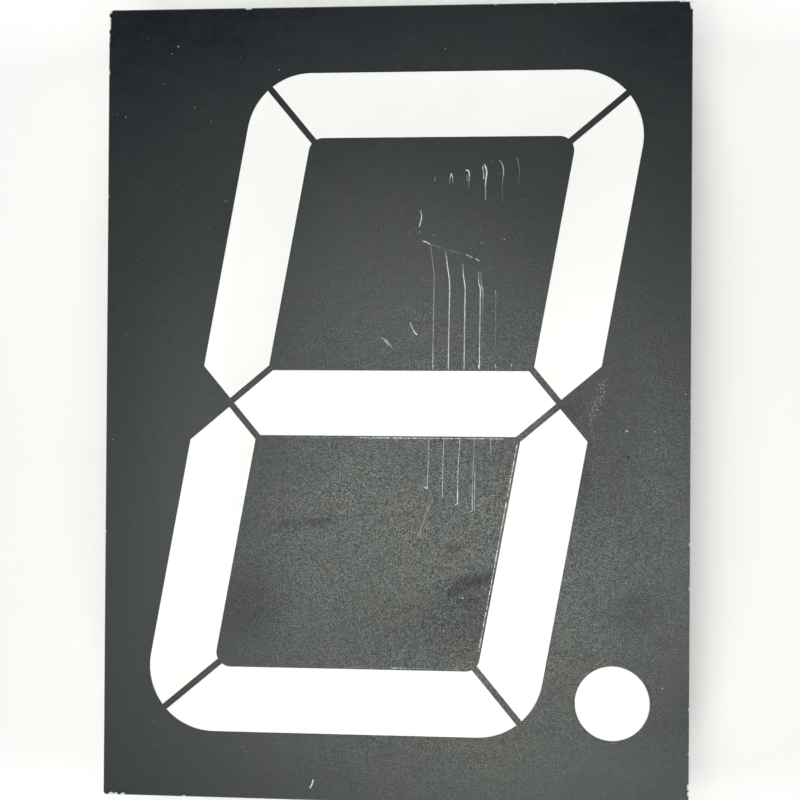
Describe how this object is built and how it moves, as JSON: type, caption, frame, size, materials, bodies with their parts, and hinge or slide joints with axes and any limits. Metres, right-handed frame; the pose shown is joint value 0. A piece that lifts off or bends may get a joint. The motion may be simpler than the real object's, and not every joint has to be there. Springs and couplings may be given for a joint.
{
  "type": "seven segment display",
  "caption": "Flat rectangular numeral display with a black printed face, slanted white segments, a round decimal point, and rows of solder pins behind.",
  "frame": {"origin": "centre of the pin pattern, on the plane that the four corner pads of the back stand on", "axes": "+X to the digit's right, +Y to the digit's top, +Z out of the face, so the pins point along -Z"},
  "size_m": [0.09, 0.122, 0.021],
  "materials": {
    "housing": "white moulded plastic, fine matt texture",
    "face_print": "black printed layer, semi-matt, scratched through to the white plastic",
    "resin": "white diffusing cast resin, smooth",
    "board": "green lacquered circuit board",
    "led": "small white package with a pale yellow window",
    "pin": "tinned, drawn",
    "solder": "bright solder"
  },
  "bodies": {
    "root": {"housing": "housing", "face_print": "face_print", "segment_a": "resin", "segment_b": "resin", "segment_c": "resin", "segment_d": "resin", "segment_e": "resin", "segment_f": "resin", "segment_g": "resin", "decimal_point": "resin", "circuit_board": "board", "leds_a": "led", "leds_b": "led", "leds_c": "led", "leds_d": "led", "leds_e": "led", "leds_f": "led", "leds_g": "led", "leds_dp": "led", "pin_1": "pin", "pin_2": "pin", "pin_3": "pin", "pin_4": "pin", "pin_5": "pin", "pin_6": "pin", "pin_7": "pin", "pin_8": "pin", "pin_9": "pin", "pin_10": "pin", "pin_11": "pin", "pin_12": "pin", "solder_joints": "solder"}
  },
  "joints": []
}
